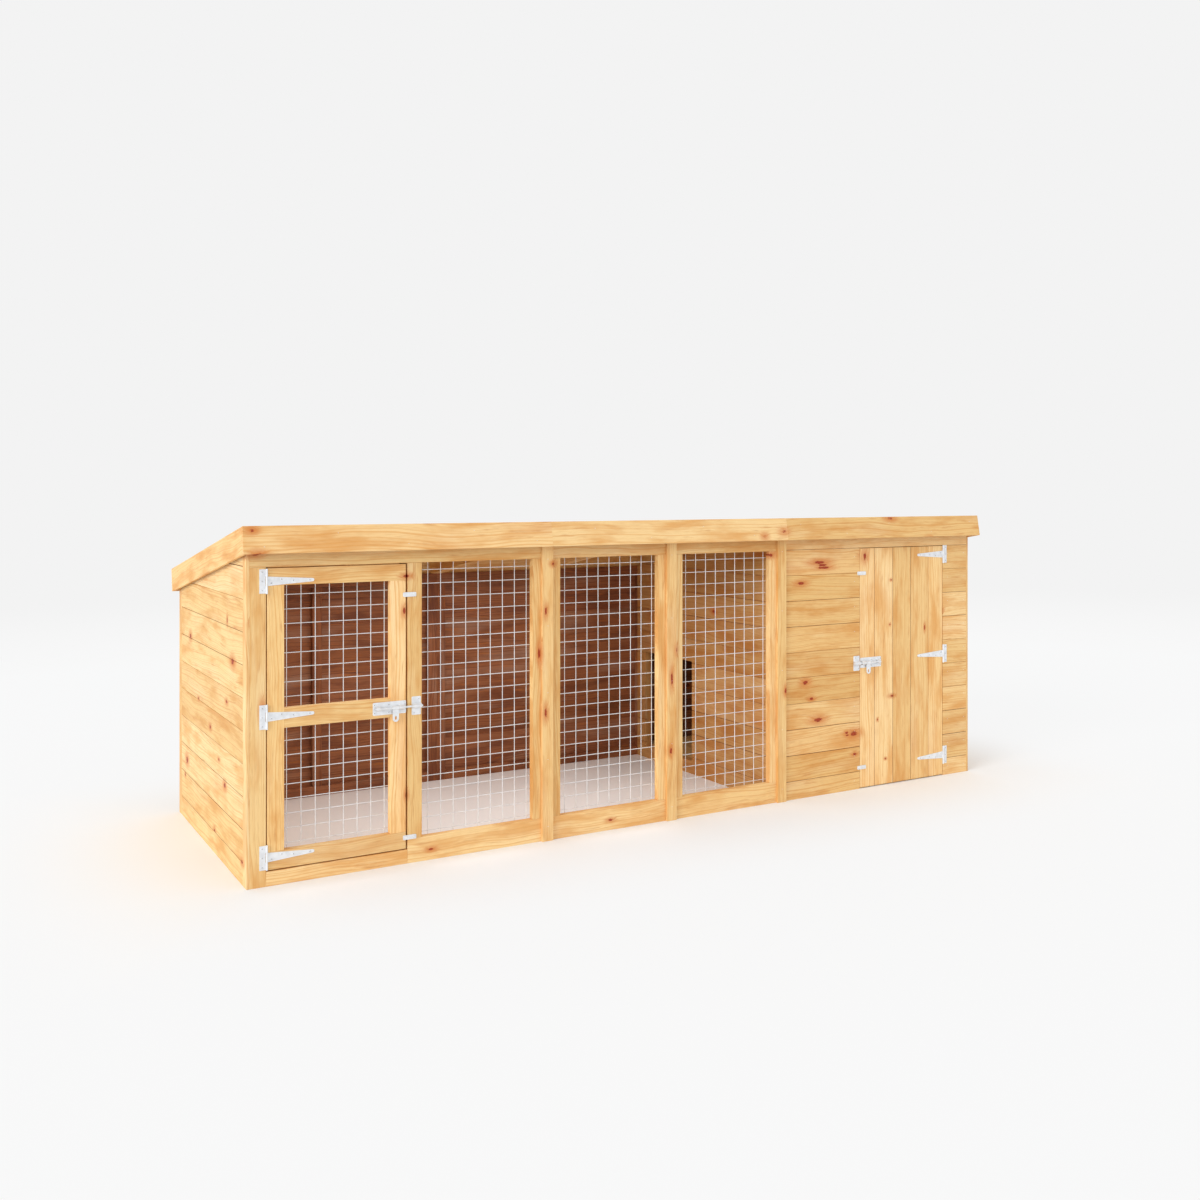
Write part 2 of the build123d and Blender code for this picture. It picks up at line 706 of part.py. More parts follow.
run_hinge_heights = (
    run_door_foot + run_hinge_inset,
    hinge_mid_height,
    run_door_head - run_hinge_inset,
)
kennel_hinge_heights = (
    kennel_door_foot + kennel_hinge_foot_inset,
    hinge_mid_height,
    kennel_door_head - kennel_hinge_top_inset,
)
tee_hinges("run", run_door_left - run_door_hinge_gap / 2, run_hinge_heights, 1)
tee_hinges("kennel", kennel_door_right + kennel_door_hinge_gap / 2, kennel_hinge_heights, -1)


# Padlock bolts
def loop(section_plane, length):
    """A strip bent over the rod: a half ring on splayed legs that stand on the plate."""
    inner = rod_radius + guide_clear
    turns = [radians(180 * step / (round_sides / 2)) for step in range(round_sides // 2 + 1)]
    over, under = [
        [(radius * cos(turn), radius * sin(turn)) for turn in turns] for radius in (inner + guide_thick, inner)
    ]
    foot = guide_foot / 2
    left_foot = [(-foot, -rod_stand_off), (guide_thick - foot, -rod_stand_off)]
    right_foot = [(foot - guide_thick, -rod_stand_off), (foot, -rod_stand_off)]
    with BuildSketch(section_plane) as strip:
        Polygon(*over, *left_foot, *under[::-1], *right_foot, align=None)
    extrude(strip.sketch, amount=length)


def padlock_bolt(name, nose_x, toward_keep, keep_offset):
    """Plate with its two loops, the keep, the sliding rod and the handle that turns on it."""
    rod_y = front - bolt_plate_thick - rod_stand_off
    face = Plane(origin=(nose_x, front, door_mid_height), x_dir=(-toward_keep, 0, 0), z_dir=(0, -1, 0))
    keep_start = -keep_offset - keep_width
    handle_start = front_guide_inset + front_guide_width + handle_gap

    def across(along):
        """Plane square to the rod, that far back from the nose of the plate, with Y out of the wall."""
        origin = (nose_x - toward_keep * along, rod_y, door_mid_height)
        return Plane(origin=origin, x_dir=(0, 0, -toward_keep), z_dir=(-toward_keep, 0, 0))

    with BuildPart() as plate:
        with BuildSketch(face) as outline:
            with Locations((bolt_plate_length / 2, 0)):
                RectangleRounded(bolt_plate_length, bolt_plate_height, bolt_plate_corner)
            with Locations(*bolt_holes):
                round_hole(bolt_hole_radius)
        extrude(outline.sketch, amount=bolt_plate_thick)
        loop(across(front_guide_inset), front_guide_width)
        loop(across(rear_guide_inset), rear_guide_width)
    save(plate, f"{name}_bolt_plate")

    with BuildPart() as keep:
        with BuildSketch(face) as outline:
            with Locations((keep_start + keep_width / 2, 0)):
                RectangleRounded(keep_width, keep_height, bolt_plate_corner)
                with Locations(*((along, -toward_keep * height) for along, height in keep_holes)):
                    round_hole(bolt_hole_radius)
        extrude(outline.sketch, amount=bolt_plate_thick)
        loop(across(keep_start), keep_width)
    save(keep, f"{name}_bolt_keep")

    with BuildPart() as rod:
        rod_start = keep_start - rod_past_keep
        rod_end = rear_guide_inset + rear_guide_width + rod_past_guide
        with BuildSketch(across(rod_start)) as section:
            round_bar(rod_radius)
        extrude(section.sketch, amount=rod_end - rod_start)
        rod_ends = rod.faces().sort_by(Axis.X)
        chamfer(rod_ends[0].edges() + rod_ends[-1].edges(), rod_chamfer)
    save(rod, f"{name}_bolt_rod")

    with BuildPart() as handle:
        with BuildSketch(across(handle_start)) as collar:
            round_bar(handle_collar_radius)
        extrude(collar.sketch, amount=handle_width)
        tab_x = nose_x - toward_keep * (handle_start + handle_width / 2)
        tab_plane = Plane(origin=(tab_x, rod_y + handle_thick / 2, door_mid_height), x_dir=(1, 0, 0), z_dir=(0, -1, 0))
        tip = handle_drop - handle_width / 2
        with BuildSketch(tab_plane) as tab:
            with Locations((0, -tip / 2)):
                Rectangle(handle_width, tip)
            with Locations((0, -tip)):
                round_bar(handle_width / 2)
            with Locations((0, -padlock_slot_drop)):
                SlotOverall(padlock_slot_height, padlock_slot_width, rotation=90, mode=Mode.SUBTRACT)
        extrude(tab.sketch, amount=handle_thick)
        with BuildSketch(across(handle_start)) as bore:
            RegularPolygon(rod_radius + handle_bore_clear, round_sides, major_radius=False)
        extrude(bore.sketch, amount=handle_width, mode=Mode.SUBTRACT)
    save(handle, f"{name}_bolt_handle")


padlock_bolt("run", run_door_right, 1, run_keep_offset)
padlock_bolt("kennel", kennel_door_left, -1, kennel_keep_offset)

# Turn buttons, each held by the screw it turns on
button_places = {}
for level, z in {
    "top": run_door_head - run_button_head_inset,
    "bottom": run_door_foot + run_button_foot_inset,
}.items():
    pivot_x = run_door_right - run_button_on_door + button_length - button_pivot_inset
    button_places[f"run_button_{level}"] = (pivot_x, z, -1)
for level, z in {
    "top": kennel_door_head - kennel_button_head_inset,
    "bottom": kennel_door_foot + kennel_button_foot_inset,
}.items():
    pivot_x = kennel_opening_left - kennel_button_on_wall + button_pivot_inset
    button_places[f"kennel_button_{level}"] = (pivot_x, z, 1)

for name, (x, z, arm) in button_places.items():
    button_face = Plane(origin=(x, front - button_clear, z), x_dir=(1, 0, 0), z_dir=(0, -1, 0))
    with BuildPart() as button:
        with BuildSketch(button_face) as outline:
            with Locations((arm * (button_length / 2 - button_pivot_inset), 0)):
                Rectangle(button_length, button_width)
            chamfer(outline.vertices(), button_corner)
            round_hole(button_screw_radius + button_bore_clear)
        extrude(outline.sketch, amount=button_thick)
    save(button, name)

with BuildPart() as turn_button_screws:
    neck = 2 * button_clear + button_thick
    for x, z, _ in button_places.values():
        shank_plane = Plane(origin=(x, front, z), x_dir=(1, 0, 0), z_dir=(0, -1, 0))
        with BuildSketch(shank_plane) as shank:
            round_bar(button_screw_radius)
        extrude(shank.sketch, amount=neck)
        with BuildSketch(shank_plane.offset(neck)) as head:
            round_bar(button_head_radius)
        extrude(head.sketch, amount=button_head_thick, taper=button_head_taper)
save(turn_button_screws, "turn_button_screws")
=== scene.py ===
import json
import math
import random

import bmesh
import bpy
import numpy as np
from mathutils import Matrix, Vector


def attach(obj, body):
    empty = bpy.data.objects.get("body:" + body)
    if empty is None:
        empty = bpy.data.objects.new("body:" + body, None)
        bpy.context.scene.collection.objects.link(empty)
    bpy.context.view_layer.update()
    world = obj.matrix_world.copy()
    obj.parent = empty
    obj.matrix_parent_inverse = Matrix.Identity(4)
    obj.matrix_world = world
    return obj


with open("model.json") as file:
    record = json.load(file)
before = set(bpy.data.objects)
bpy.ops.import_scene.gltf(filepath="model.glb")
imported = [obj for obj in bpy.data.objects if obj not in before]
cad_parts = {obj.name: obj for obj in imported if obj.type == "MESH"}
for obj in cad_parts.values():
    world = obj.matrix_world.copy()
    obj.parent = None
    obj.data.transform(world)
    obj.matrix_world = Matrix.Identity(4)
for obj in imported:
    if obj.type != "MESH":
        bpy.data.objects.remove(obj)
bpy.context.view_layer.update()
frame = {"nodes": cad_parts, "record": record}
nodes = frame["nodes"]
scene = bpy.context.scene

# The part's frame: metres, the front face of the walls at FRONT, the ground at 0.
FRONT = -0.601
LEFT = -1.8
ROOF_TOP = 1.292
ROOF_EDGE = -0.642
PITCH = math.radians(9.75)


def at(x, y, z):
    """A point given from the front left foot of the walls, in millimetres."""
    return Vector((LEFT + x / 1000, FRONT + y / 1000, z / 1000))


class Tree:
    """Short ways to add and join shader nodes."""

    def __init__(self, tree):
        self.tree = tree

    def node(self, kind, **settings):
        made = self.tree.nodes.new(kind)
        for name, value in settings.items():
            setattr(made, name, value)
        return made

    def put(self, socket, value):
        if isinstance(value, bpy.types.NodeSocket):
            self.tree.links.new(value, socket)
        elif value is not None:
            socket.default_value = value

    def math(self, operation, *values, clamp=False):
        made = self.node("ShaderNodeMath", operation=operation, use_clamp=clamp)
        for socket, value in zip(made.inputs, values):
            self.put(socket, value)
        return made.outputs[0]

    def vector(self, operation, *values):
        made = self.node("ShaderNodeVectorMath", operation=operation)
        for socket, value in zip(made.inputs, values):
            self.put(socket, value)
        return made.outputs[0]

    def split(self, vector):
        made = self.node("ShaderNodeSeparateXYZ")
        self.put(made.inputs[0], vector)
        return made.outputs[0], made.outputs[1], made.outputs[2]

    def join(self, x, y, z):
        made = self.node("ShaderNodeCombineXYZ")
        for socket, value in zip(made.inputs, (x, y, z)):
            self.put(socket, value)
        return made.outputs[0]

    def mix(self, factor, a, b):
        """Colour a, then b as factor goes from 0 to 1. The colours are the node's sockets 6, 7 and 2."""
        made = self.node("ShaderNodeMix", data_type="RGBA")
        for number, value in ((0, factor), (6, a), (7, b)):
            self.put(made.inputs[number], value)
        return made.outputs[2]

    def length(self, a, b):
        """How long the flat vector (a, b) is."""
        squares = self.math("POWER", a, 2), self.math("POWER", b, 2)
        return self.math("SQRT", self.math("ADD", *squares))

    def step(self, value, low, high, to_low=0.0, to_high=1.0):
        """A smooth step from to_low to to_high as value goes from low to high."""
        made = self.node("ShaderNodeMapRange", interpolation_type="SMOOTHSTEP")
        for socket, number in zip(made.inputs, (value, low, high, to_low, to_high)):
            self.put(socket, number)
        return made.outputs[0]

    def noise(self, vector, scale, detail=2.0, rough=0.5, w=None):
        """Noise in space at vector, or along one line at w."""
        made = self.node("ShaderNodeTexNoise", noise_dimensions="3D" if w is None else "1D")
        if w is None:
            self.put(made.inputs["Vector"], vector)
        else:
            self.put(made.inputs["W"], w)
        self.put(made.inputs["Scale"], scale)
        self.put(made.inputs["Detail"], detail)
        self.put(made.inputs["Roughness"], rough)
        return made.outputs["Fac"]


def rgb(red, green, blue):
    """A shader colour from the 0 to 255 values that a picture shows."""
    shown = [value / 255 for value in (red, green, blue)]
    return tuple(((v + 0.055) / 1.055) ** 2.4 if v > 0.04045 else v / 12.92 for v in shown) + (1,)


def socket_in(group, name, kind):
    group.interface.new_socket(name, in_out="INPUT", socket_type=kind)


# A distance from a knot, in its radii, at which it no longer shows
NO_KNOT = 30.0
# The radius of a placed knot into the wall is 1/18 m
INTO_WALL = 18
# Knots seen on the front: x and z on the wall, then the radii along X and Z, in millimetres
KNOTS = (
    (1226, 1120, 7, 5), (1548, 1122, 11, 6), (2268, 1212, 9, 7), (2345, 1124, 9, 6), (2380, 1232, 12, 8),
    (3030, 1284, 16, 6), (10, 1276, 9, 6), (30, 1192, 12, 7), (56, 628, 5, 17), (1190, 930, 4, 13),
    (1166, 760, 5, 18), (1190, 520, 5, 15), (1800, 610, 5, 22), (1828, 730, 5, 11), (1795, 300, 5, 10),
    (2420, 505, 5, 11), (592, 960, 5, 10), (600, 260, 4, 9), (2628, 1083, 26, 6), (2648, 1070, 20, 5),
    (2662, 1058, 22, 5), (2636, 1058, 12, 4), (2545, 531, 12, 8), (2582, 453, 9, 5), (2622, 352, 20, 8),
    (2840, 265, 17, 9), (2795, 274, 9, 4), (2846, 168, 9, 5), (2800, 262, 8, 3), (2520, 990, 16, 6),
    (3078, 985, 4, 3), (3070, 770, 3, 3), (3083, 424, 9, 4), (2990, 318, 3, 4), (3040, 125, 4, 3),
    (3300, 742, 3, 9), (600, 1092, 10, 5), (700, 40, 9, 4), (1500, 42, 9, 4),
)
# Knots on the left end wall: y and z on the wall, then the radii along Y and Z, in millimetres
SIDE_KNOTS = (
    (290, 930, 5, 9), (205, 785, 16, 10), (300, 622, 10, 5), (580, 480, 10, 6), (330, 300, 12, 8),
    (1030, 262, 15, 11), (1070, 190, 7, 5), (60, 84, 9, 6), (960, 800, 12, 9), (430, 380, 8, 4),
    (800, 560, 7, 4),
)


def knot_group():
    """How far a point is from the nearest of the listed knots, in knot radii."""
    group = bpy.data.node_groups.new("placed_knots", "ShaderNodeTree")
    socket_in(group, "Place", "NodeSocketVector")
    group.interface.new_socket(name="Ratio", in_out="OUTPUT", socket_type="NodeSocketFloat")
    t = Tree(group)
    place = t.node("NodeGroupInput").outputs["Place"]
    ratio = NO_KNOT
    spots = [(at(x, 0, z), (1000 / wide, INTO_WALL, 1000 / high)) for x, z, wide, high in KNOTS]
    spots += [(at(0, y, z), (INTO_WALL, 1000 / wide, 1000 / high)) for y, z, wide, high in SIDE_KNOTS]
    for centre, scale in spots:
        reach = t.vector("MULTIPLY", t.vector("SUBTRACT", place, tuple(centre)), scale)
        away = t.node("ShaderNodeVectorMath", operation="LENGTH")
        t.put(away.inputs[0], reach)
        ratio = t.math("MINIMUM", away.outputs["Value"], ratio)
    t.put(t.node("NodeGroupOutput").inputs["Ratio"], ratio)
    return group


def pine_group():
    """Pine: growth lines that part round knots, broad stains along the grain and fine fibres."""
    group = bpy.data.node_groups.new("pine_grain", "ShaderNodeTree")
    socket_in(group, "Along", "NodeSocketVector")
    for name in ("Placed", "Knots", "Lines"):
        socket_in(group, name, "NodeSocketFloat")
    for name in ("Light", "Dark", "Knot"):
        socket_in(group, name, "NodeSocketColor")
    for name, kind in (
        ("Color", "NodeSocketColor"),
        ("Height", "NodeSocketFloat"),
        ("Dull", "NodeSocketFloat"),
    ):
        group.interface.new_socket(name, in_out="OUTPUT", socket_type=kind)
    t = Tree(group)
    given = t.node("NodeGroupInput")
    u, v, w = t.split(given.outputs["Along"])

    # Knots: one to a cell at most, long along the grain, with a ragged rim
    wobble = t.noise(t.join(t.math("MULTIPLY", u, 60), t.math("MULTIPLY", v, 190), 0), 1.0, 3.0, 0.7)
    ragged = t.math("SUBTRACT", wobble, 0.5)
    knots = t.node("ShaderNodeTexVoronoi", voronoi_dimensions="2D", feature="F1")
    cells_u, cells_v = 3.0, 9.0
    cell_at = t.join(t.math("MULTIPLY", u, cells_u), t.math("MULTIPLY", v, cells_v), 0)
    t.put(knots.inputs["Vector"], cell_at)
    t.put(knots.inputs["Scale"], 1.0)
    t.put(knots.inputs["Randomness"], 1.0)
    place_u, place_v, _ = t.split(knots.outputs["Position"])
    chance, share, _ = t.split(knots.outputs["Color"])
    du = t.math("SUBTRACT", u, t.math("DIVIDE", place_u, cells_u))
    dv = t.math("SUBTRACT", v, t.math("DIVIDE", place_v, cells_v))
    present = t.math("GREATER_THAN", chance, given.outputs["Knots"])
    radius = t.math("MULTIPLY", t.math("MULTIPLY_ADD", share, 0.006, 0.003), present)
    radius = t.math("MAXIMUM", radius, 0.0001)
    away = t.length(t.math("MULTIPLY", du, 0.6), dv)
    ratio = t.math("MINIMUM", t.math("DIVIDE", away, radius), given.outputs["Placed"])
    ratio = t.math("MAXIMUM", t.math("MULTIPLY_ADD", ragged, 2.6, ratio), 0.0)

    # Growth lines, parted round the knot
    near = t.step(ratio, 0.6, 4.5, 1.0, 0.0)
    drift_at = t.join(t.math("MULTIPLY", u, 1.5), t.math("MULTIPLY", v, 3.0), t.math("MULTIPLY", w, 3.0))
    drift = t.noise(drift_at, 1.0, 2.0, 0.55)
    parted = t.math("MULTIPLY_ADD", drift, 0.085, v)
    parted = t.math("MULTIPLY_ADD", near, 0.012, parted)
    ring = t.noise(None, 1.0, 1.0, w=t.math("MULTIPLY", parted, 150.0))
    fine = t.noise(None, 1.0, 2.0, w=t.math("MULTIPLY", parted, 560.0))
    late = t.math("MULTIPLY", t.step(ring, 0.46, 0.72), given.outputs["Lines"])
    thin = t.math("MULTIPLY", t.step(fine, 0.42, 0.8), given.outputs["Lines"])

    # Broad stains along the grain, then lines and fibres
    stain_at = t.join(t.math("MULTIPLY", u, 4.0), t.math("MULTIPLY", parted, 18), t.math("MULTIPLY", w, 12))
    stain = t.noise(stain_at, 1.0, 3.0, 0.55)
    colour = t.mix(t.step(stain, 0.4, 0.7, 0.0, 0.75), given.outputs["Light"], given.outputs["Dark"])
    pale_at = t.join(t.math("MULTIPLY", u, 2.1), t.math("MULTIPLY", v, 9), t.math("MULTIPLY", w, 9))
    pale = t.noise(pale_at, 1.0, 2.0)
    paler = t.mix(0.22, given.outputs["Light"], rgb(255, 246, 224))
    colour = t.mix(t.step(pale, 0.5, 0.75, 0.0, 0.5), colour, paler)
    colour = t.mix(t.math("MULTIPLY", late, 0.55), colour, given.outputs["Dark"])
    colour = t.mix(t.math("MULTIPLY", thin, 0.3), colour, given.outputs["Dark"])
    flame_at = t.join(t.math("MULTIPLY", u, 8), t.math("MULTIPLY", parted, 90), t.math("MULTIPLY", w, 30))
    flame = t.noise(flame_at, 1.0, 3.0, 0.6)
    colour = t.mix(t.step(flame, 0.56, 0.76, 0.0, 0.42), colour, rgb(192, 112, 40))
    fibre_at = t.join(t.math("MULTIPLY", u, 24), t.math("MULTIPLY", v, 900), t.math("MULTIPLY", w, 900))
    fibre = t.noise(fibre_at, 1.0, 2.0)
    colour = t.mix(t.step(fibre, 0.45, 0.8, 0.0, 0.2), colour, rgb(140, 84, 36))

    # The knot itself, its dark rim and the stain round it
    blur = t.math("MULTIPLY_ADD", wobble, 1.6, 0.0, clamp=True)
    halo = t.math("MULTIPLY", t.step(ratio, 0.8, 5.0, 0.75, 0.0), blur)
    colour = t.mix(halo, colour, rgb(200, 100, 26))
    rim = t.math("SUBTRACT", t.step(ratio, 0.5, 0.9), t.step(ratio, 0.95, 1.5))
    body = t.step(ratio, 0.75, 1.35, 0.92, 0.0)
    heart = t.mix(t.step(ratio, 0.0, 0.7, 0.3, 1.0), rgb(176, 70, 22), given.outputs["Knot"])
    colour = t.mix(body, colour, heart)

    height = t.math("ADD", t.math("MULTIPLY", late, 0.5), t.math("MULTIPLY", fibre, 0.5))
    height = t.math("SUBTRACT", height, t.math("MULTIPLY", rim, 0.6))
    dull = t.math("MULTIPLY_ADD", late, -0.12, 0.62)
    given_out = t.node("NodeGroupOutput")
    for name, value in (("Color", colour), ("Height", height), ("Dull", dull)):
        t.put(given_out.inputs[name], value)
    return group


def new_material(name):
    material = bpy.data.materials.new(name)
    material.use_nodes = True
    material.node_tree.nodes.clear()
    t = Tree(material.node_tree)
    shader = t.node("ShaderNodeBsdfPrincipled")
    out = t.node("ShaderNodeOutputMaterial")
    t.put(out.inputs["Surface"], shader.outputs[0])
    return material, t, shader


def bump(t, shader, height, distance, strength=1.0):
    made = t.node("ShaderNodeBump")
    t.put(made.inputs["Height"], height)
    t.put(made.inputs["Distance"], distance)
    t.put(made.inputs["Strength"], strength)
    t.put(shader.inputs["Normal"], made.outputs[0])


GRAIN = pine_group()
PLACED = knot_group()
# How red, green and blue each board is against its family, and how rare its knots are
TONES = (
    (1.01, 1.01, 1.00, 0.98),
    (0.96, 0.93, 0.88, 0.98),
    (1.06, 1.09, 1.16, 0.98),
    (0.98, 0.96, 0.90, 0.98),
    (1.03, 1.02, 1.00, 0.98),
    (0.94, 0.90, 0.82, 0.98),
    (1.06, 1.06, 1.10, 0.98),
)
# The light and dark tone and the knots of each family, and how strong its growth lines are
FAMILIES = {
    "pine": (rgb(241, 205, 144), rgb(216, 152, 78), rgb(146, 30, 12), 1.0),
    # The inner family is pine darkened with painted shade, for the inside of the back wall and its frames,
    # which stand in shade
    "inner": (rgb(152, 95, 60), rgb(104, 55, 34), rgb(70, 22, 16), 1.0),
}
# Where the joints between tongued boards lie: which way they are counted, the first one and
# the pitch, in metres
SEAMS = {"wall": ("z", 0.083, 0.118), "door": ("x", 1.172, 0.118)}
woods = {}


def seam_shade(t, place, seam):
    """Painted shade in the groove at the joint between two boards, darker in some places than in others."""
    way, first, pitch = SEAMS[seam]
    value = t.split(place)["xyz".index(way)]
    cell = t.math("DIVIDE", t.math("SUBTRACT", value, first), pitch)
    off = t.math("ABSOLUTE", t.math("SUBTRACT", cell, t.math("ROUND", cell)))
    line = t.step(t.math("MULTIPLY", off, pitch), 0.0005, 0.0022, 1.0, 0.0)
    course = t.math("ROUND", cell)
    depth = t.noise(t.join(t.math("MULTIPLY", course, 7.3), 0.0, 0.0), 1.0, 0.0)
    return t.math("MULTIPLY", line, t.step(depth, 0.38, 0.62, 0.2, 0.95))


def wood(family, way, variant, seam=None, tint=""):
    """Pine with its grain along X, Y, Z or the roof slope, in one of the tones, tinted as a node is; the
    tint of some nodes is painted shade.
    """
    shade = TINTS_AND_PAINTED_SHADE.get(tint, (1.0, 1.0, 1.0))
    words = [family, way, str(variant), seam, tint if tint in TINTS_AND_PAINTED_SHADE else None]
    key = "_".join(word for word in words if word)
    if key in woods:
        return woods[key]
    light, dark, knot, lines = FAMILIES[family]
    red, green, blue, knots = TONES[variant]
    material, t, shader = new_material(key)
    place = t.node("ShaderNodeTexCoord").outputs["Object"]
    spot = t.node("ShaderNodeGroup", node_tree=PLACED)
    t.put(spot.inputs["Place"], place)
    turned = place
    if way == "slope":
        turn = t.node("ShaderNodeVectorRotate", rotation_type="X_AXIS")
        t.put(turn.inputs["Vector"], place)
        t.put(turn.inputs["Angle"], PITCH)
        turned = turn.outputs[0]
    x, y, z = t.split(turned)
    along = {"x": (x, z, y), "y": (y, z, x), "z": (z, x, y), "slope": (y, z, x)}[way]
    shift = (variant * 3.71 + 1.3, variant * 1.93 + 0.4, variant * 0.77)
    coordinate = t.vector("ADD", t.join(*along), shift)
    grain = t.node("ShaderNodeGroup", node_tree=GRAIN)
    t.put(grain.inputs["Along"], coordinate)
    t.put(grain.inputs["Placed"], spot.outputs["Ratio"])
    t.put(grain.inputs["Knots"], knots)
    t.put(grain.inputs["Lines"], lines)
    for name, colour in (("Light", light), ("Dark", dark)):
        toned = tuple(c * f * g for c, f, g in zip(colour, (red, green, blue), shade))
        t.put(grain.inputs[name], toned + (1,))
    t.put(grain.inputs["Knot"], knot)
    colour = grain.outputs["Color"]
    if seam:
        # The seam line is painted shade in the groove between boards
        colour = t.mix(seam_shade(t, place, seam), colour, rgb(128, 62, 24))
    t.put(shader.inputs["Base Color"], colour)
    t.put(shader.inputs["Roughness"], grain.outputs["Dull"])
    t.put(shader.inputs["Specular IOR Level"], 0.3)
    bump(t, shader, grain.outputs["Height"], 0.0004, 0.6)
    woods[key] = material
    return material


def metal_material(name, colour, rough, spots):
    """Zinc: a bright grey with cloudy spangle, fine scratches and a little grime."""
    material, t, shader = new_material(name)
    place = t.node("ShaderNodeTexCoord").outputs["Object"]
    spangle = t.node("ShaderNodeTexVoronoi", feature="F1")
    t.put(spangle.inputs["Vector"], place)
    t.put(spangle.inputs["Scale"], spots)
    tone = t.split(spangle.outputs["Color"])[0]
    cloud = t.noise(place, 45.0, 3.0)
    base = t.mix(t.step(cloud, 0.35, 0.7), colour, tuple(c * 0.86 for c in colour[:3]) + (1,))
    base = t.mix(t.math("MULTIPLY", tone, 0.2), base, (0.9, 0.91, 0.92, 1))
    t.put(shader.inputs["Base Color"], base)
    t.put(shader.inputs["Metallic"], 0.4)
    t.put(shader.inputs["Roughness"], t.math("MULTIPLY_ADD", tone, 0.15, rough))
    scratch = t.noise(t.vector("MULTIPLY", place, (900, 120, 120)), 1.0, 2.0)
    bump(t, shader, scratch, 0.00005, 0.5)
    return material


ZINC = metal_material("zinc_plate", rgb(236, 239, 243), 0.42, 320.0)
WIRE = metal_material("galvanised_wire", rgb(234, 236, 238), 0.45, 500.0)
# The dark grey of the cross recesses is painted shade
RECESS_PAINTED_SHADE = metal_material("screw_recess_painted_shade", rgb(60, 60, 62), 0.6, 900.0)


def felt_material():
    """Roofing felt: mineral granules pressed into bitumen."""
    material, t, shader = new_material("mineral_felt")
    place = t.node("ShaderNodeTexCoord").outputs["Object"]
    grains = t.node("ShaderNodeTexVoronoi", feature="F1")
    t.put(grains.inputs["Vector"], place)
    t.put(grains.inputs["Scale"], 620.0)
    tone = t.split(grains.outputs["Color"])[0]
    colour = t.mix(tone, rgb(54, 58, 54), rgb(104, 110, 102))
    cloud = t.noise(place, 3.0, 4.0)
    colour = t.mix(t.step(cloud, 0.4, 0.7, 0.0, 0.4), colour, rgb(66, 70, 64))
    t.put(shader.inputs["Base Color"], colour)
    t.put(shader.inputs["Roughness"], 0.92)
    sunk = t.math("MULTIPLY", grains.outputs["Distance"], -1.0)
    height = t.math("ADD", sunk, t.math("MULTIPLY", cloud, 0.4))
    bump(t, shader, height, 0.0008)
    return material


def board_material():
    """Strand board: flat flakes laid every way, pressed and sanded."""
    material, t, shader = new_material("strand_board")
    place = t.node("ShaderNodeTexCoord").outputs["Object"]
    x, y, z = t.split(place)
    colour = rgb(196, 156, 104)
    edge = 0.0
    for number, (angle, scale) in enumerate(((0.3, 26.0), (1.4, 22.0), (2.5, 30.0))):
        turn = t.node("ShaderNodeVectorRotate", rotation_type="Z_AXIS")
        t.put(turn.inputs["Vector"], t.join(x, y, 0.0))
        t.put(turn.inputs["Angle"], angle)
        flakes = t.node(
            "ShaderNodeTexVoronoi", feature="F1", voronoi_dimensions="2D", distance="CHEBYCHEV"
        )
        t.put(flakes.inputs["Vector"], t.vector("MULTIPLY", turn.outputs[0], (1.0, 4.0, 1.0)))
        t.put(flakes.inputs["Scale"], scale)
        tone, pick, _ = t.split(flakes.outputs["Color"])
        flake = t.mix(tone, rgb(222, 186, 132), rgb(158, 112, 66))
        colour = t.mix(1.0 if number == 0 else t.math("GREATER_THAN", pick, 0.5), colour, flake)
        edge = t.math("ADD", edge, t.math("MULTIPLY", pick, 0.5))
    streak = t.noise(t.vector("MULTIPLY", place, (30, 400, 400)), 1.0, 2.0)
    colour = t.mix(t.step(streak, 0.5, 0.8, 0.0, 0.2), colour, rgb(120, 80, 44))
    t.put(shader.inputs["Base Color"], colour)
    t.put(shader.inputs["Roughness"], 0.75)
    bump(t, shader, edge, 0.0004)
    return material


FELT = felt_material()
BOARD = board_material()


def pieces_of(mesh):
    """Which piece of the node each polygon belongs to, and each piece's longest way."""
    count = len(mesh.vertices)
    points = np.empty(count * 3)
    mesh.vertices.foreach_get("co", points)
    points = points.reshape(-1, 3)
    _, same = np.unique(np.round(points, 5), axis=0, return_inverse=True)
    same = same.reshape(-1)
    parent = list(range(same.max() + 1))

    def top(i):
        while parent[i] != i:
            parent[i] = parent[parent[i]]
            i = parent[i]
        return i

    for polygon in mesh.polygons:
        first = top(same[polygon.vertices[0]])
        for vertex in polygon.vertices[1:]:
            other = top(same[vertex])
            parent[other] = first
    root = [top(same[polygon.vertices[0]]) for polygon in mesh.polygons]
    boxes = {}
    for polygon, r in zip(mesh.polygons, root):
        corners = points[list(polygon.vertices)]
        low, high = boxes.get(r, (corners[0], corners[0]))
        boxes[r] = (np.minimum(low, corners.min(0)), np.maximum(high, corners.max(0)))
    order = sorted(boxes, key=lambda r: tuple(np.round(boxes[r][0], 4)))
    number = {r: n for n, r in enumerate(order)}
    ways = [int(np.argmax(boxes[r][1] - boxes[r][0])) for r in order]
    return [number[r] for r in root], ways


SLOPED = ("roof_rafters", "roof_blocks", "side_fascias")
INNER = ("back_wall_boards_1", "back_wall_boards_2", "back_wall_boards_3")
COURSED = INNER + ("left_wall_boards", "right_wall_boards", "partition_boards") + (
    "kennel_front_boards_left",
    "kennel_front_boards_right",
)
